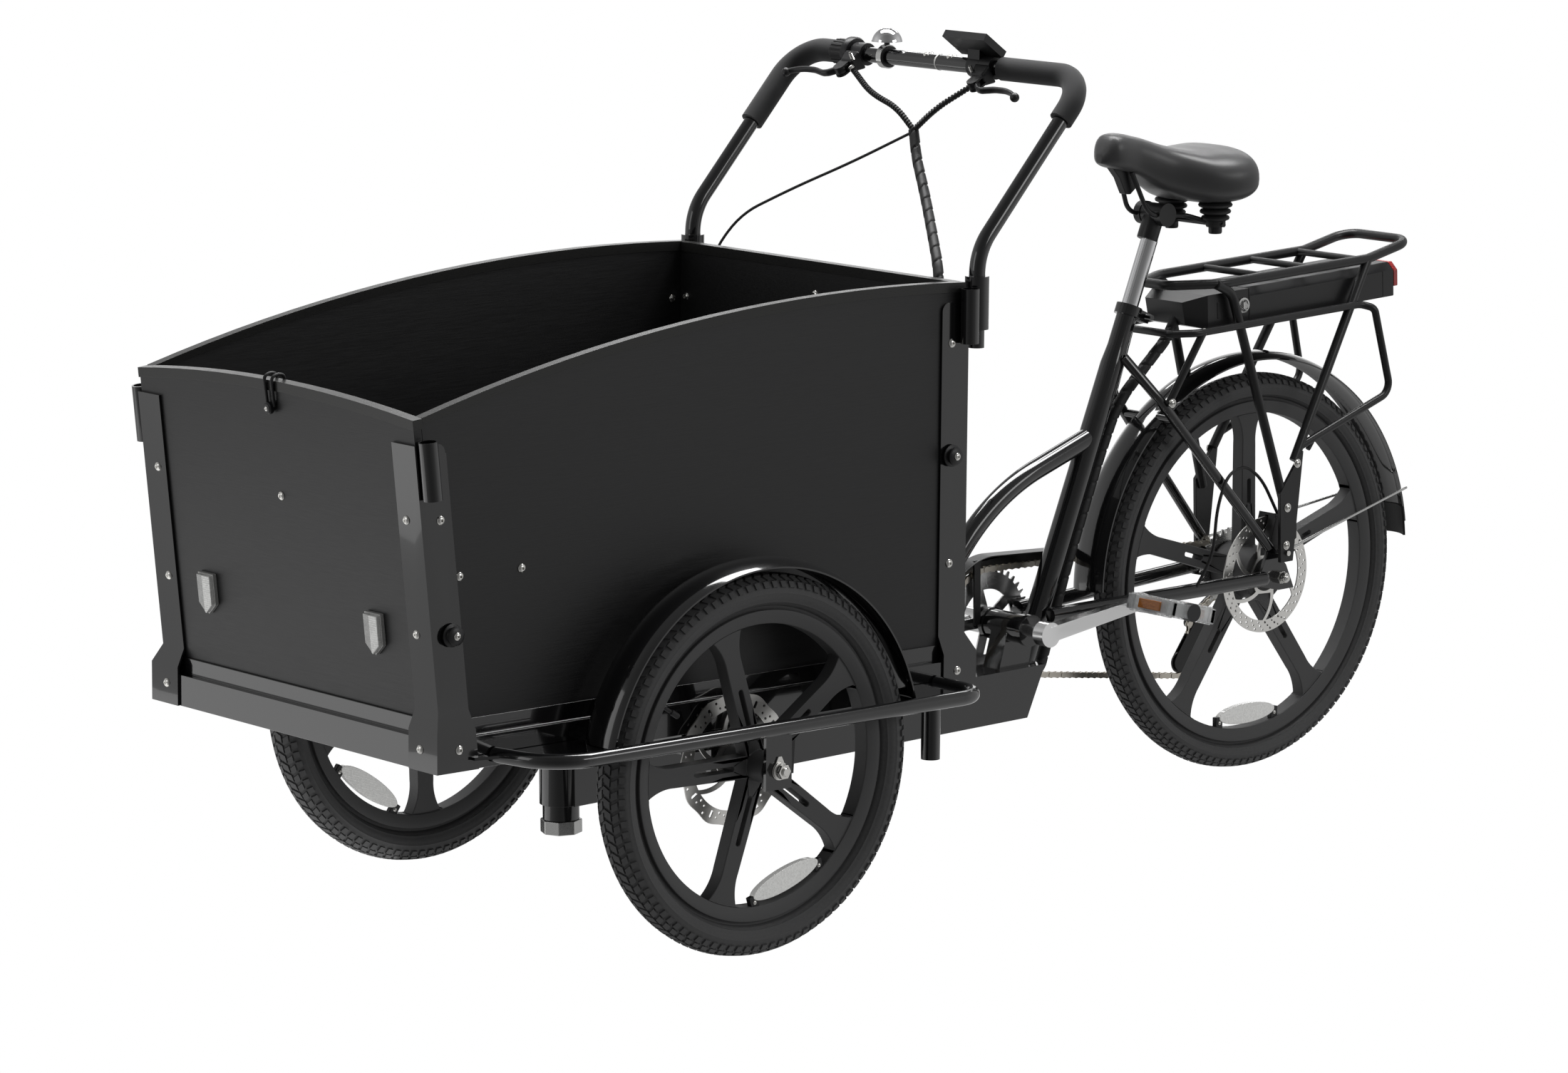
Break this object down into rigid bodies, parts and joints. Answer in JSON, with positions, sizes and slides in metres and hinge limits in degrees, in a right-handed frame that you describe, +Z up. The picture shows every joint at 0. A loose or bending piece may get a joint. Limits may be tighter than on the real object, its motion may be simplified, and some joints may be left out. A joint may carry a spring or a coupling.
{
  "type": "cargo_tricycle",
  "caption": "Two-front-wheel electric cargo tricycle with a swivelling dark plywood box, push-bar handlebar, cast wheels, disc brakes, rear carrier battery and sprung saddle",
  "frame": {"origin": "centre of the bounding box at ground level", "axes": "X forward, Y to the rider's left, Z up"},
  "size_m": [2.0996, 0.842, 1.1457],
  "materials": {
    "frame_paint": "gloss black powder coat",
    "guard_plastic": "gloss black",
    "film_ply": "dark film-faced plywood with a fine wire pattern",
    "edge_metal": "dark anodised",
    "cast_wheel": "satin black paint over cast alloy",
    "tyre_rubber": "matte black",
    "steel": "bare",
    "polished_post": "polished",
    "saddle_skin": "smooth black synthetic skin over foam",
    "soft_black": "matte black",
    "black_plastic": "satin black",
    "lever_metal": "black anodised",
    "bell_metal": "polished",
    "drive_alloy": "polished",
    "pedal_plastic": "clear",
    "clear_reflector": "clear prismatic",
    "red_lens": "translucent red"
  },
  "bodies": {
    "rear_frame": {"main_beam": "frame_paint", "seat_tube": "frame_paint", "top_tube": "frame_paint", "bottom_bracket": "frame_paint", "chainstays": "frame_paint", "seatstays": "frame_paint", "seat_clamp": "frame_paint", "rear_axle_and_stays": "steel", "rear_mudguard": "guard_plastic", "rear_rack": "frame_paint", "controller_housing": "black_plastic", "chain_guard": "frame_paint", "chain": "steel", "derailleur": "frame_paint", "rear_caliper": "frame_paint", "rear_cables": "soft_black"},
    "rear_wheel": {"rear_rim": "cast_wheel", "rear_tyre": "tyre_rubber", "rear_rotor": "steel"},
    "sprockets": {"rear_sprockets": "steel"},
    "crank": {"chainring": "drive_alloy", "crank_arms": "drive_alloy"},
    "left_pedal_body": {"left_pedal": "pedal_plastic"},
    "right_pedal_body": {"right_pedal": "pedal_plastic"},
    "seat_pillar": {"seatpost": "polished_post"},
    "saddle": {"saddle_cover": "saddle_skin", "saddle_springs": "soft_black", "saddle_rails": "frame_paint"},
    "battery": {"battery_case": "black_plastic", "tail_light": "red_lens"},
    "lock": {"battery_lock": "steel"},
    "carriage": {"steering_pin": "frame_paint", "floor_frame": "frame_paint", "cargo_floor": "film_ply", "front_panel": "film_ply", "side_panels": "film_ply", "rear_panel": "film_ply", "edge_trims": "edge_metal", "corner_posts": "frame_paint", "guard_rails": "frame_paint", "front_axles": "steel", "front_mudguards": "guard_plastic", "panel_bolts": "steel", "front_reflectors": "clear_reflector", "handlebar": "frame_paint", "bar_grips": "soft_black", "control_clamps": "black_plastic", "bar_looms": "soft_black", "front_calipers": "frame_paint"},
    "left_wheel": {"left_front_rim": "cast_wheel", "left_front_tyre": "tyre_rubber", "left_front_rotor": "steel"},
    "right_wheel": {"right_front_rim": "cast_wheel", "right_front_tyre": "tyre_rubber", "right_front_rotor": "steel"},
    "left_lever": {"left_brake_lever": "lever_metal"},
    "right_lever": {"right_brake_lever": "lever_metal"},
    "shifter": {"shift_grip": "soft_black"},
    "bell": {"bell_dome": "bell_metal"},
    "button": {"display_button": "black_plastic"}
  },
  "joints": [
    {"name": "steering", "type": "hinge", "parent": "rear_frame", "child": "carriage", "pos_m": [0.57817, 0, 0.25], "axis": [0, 0, 1], "range_deg": [-35, 35]},
    {"name": "left_wheel_spin", "type": "hinge", "parent": "carriage", "child": "left_wheel", "pos_m": [0.54217, 0.358, 0.253], "axis": [0, 1, 0], "continuous": true},
    {"name": "right_wheel_spin", "type": "hinge", "parent": "carriage", "child": "right_wheel", "pos_m": [0.54217, -0.358, 0.253], "axis": [0, 1, 0], "continuous": true},
    {"name": "rear_wheel_spin", "type": "hinge", "parent": "rear_frame", "child": "rear_wheel", "pos_m": [-0.72283, 0, 0.296], "axis": [0, 1, 0], "continuous": true},
    {"name": "crank_spin", "type": "hinge", "parent": "rear_frame", "child": "crank", "pos_m": [-0.24883, 0, 0.275], "axis": [0, 1, 0], "continuous": true},
    {"name": "sprocket_spin", "type": "hinge", "parent": "rear_frame", "child": "sprockets", "pos_m": [-0.72283, -0.05, 0.296], "axis": [0, 1, 0], "continuous": true},
    {"name": "left_pedal_spin", "type": "hinge", "parent": "crank", "child": "left_pedal_body", "pos_m": [-0.41674, 0.158, 0.30159], "axis": [0, 1, 0], "continuous": true},
    {"name": "right_pedal_spin", "type": "hinge", "parent": "crank", "child": "right_pedal_body", "pos_m": [-0.08092, -0.158, 0.24841], "axis": [0, 1, 0], "continuous": true},
    {"name": "seat_height", "type": "slide", "parent": "rear_frame", "child": "seat_pillar", "axis": [-0.3917, 0, 0.9201], "range_m": [-0.05, 0.05]},
    {"name": "saddle_tilt", "type": "hinge", "parent": "seat_pillar", "child": "saddle", "pos_m": [-0.53483, 0, 0.846], "axis": [0, 1, 0], "range_deg": [-8, 8]},
    {"name": "battery_slide", "type": "slide", "parent": "rear_frame", "child": "battery", "axis": [-0.9996, 0, 0.0297], "range_m": [0, 0.15]},
    {"name": "lock_turn", "type": "hinge", "parent": "rear_frame", "child": "lock", "pos_m": [-0.66096, 0.057, 0.70486], "axis": [0, 1, 0], "range_deg": [0, 90]},
    {"name": "left_brake_squeeze", "type": "hinge", "parent": "carriage", "child": "left_lever", "pos_m": [-0.07881, 0.1095, 1.07517], "axis": [0.4818, 0, 0.8763], "range_deg": [0, 11], "stiffness_Nm_per_rad": 0.8, "springref_deg": -5.73},
    {"name": "right_brake_squeeze", "type": "hinge", "parent": "carriage", "child": "right_lever", "pos_m": [-0.07881, -0.1685, 1.07517], "axis": [-0.4818, 0, -0.8763], "range_deg": [0, 11], "stiffness_Nm_per_rad": 0.8, "springref_deg": -5.73},
    {"name": "gear_twist", "type": "hinge", "parent": "carriage", "child": "shifter", "pos_m": [-0.11562, -0.203, 1.09541], "axis": [0, 1, 0], "range_deg": [-60, 60]},
    {"name": "bell_twist", "type": "hinge", "parent": "carriage", "child": "bell", "pos_m": [-0.11606, -0.112, 1.1165], "axis": [-0.0209, 0, 0.9998], "range_deg": [-30, 30], "stiffness_Nm_per_rad": 0.1},
    {"name": "display_press", "type": "slide", "parent": "carriage", "child": "button", "axis": [0.5906, 0, -0.807], "range_m": [0, 0.0014], "stiffness_N_per_m": 200, "springref_m": -0.0005}
  ],
  "couplings": [
    {"joint": "sprocket_spin", "follows": "crank_spin", "ratio": 2.1111}
  ]
}
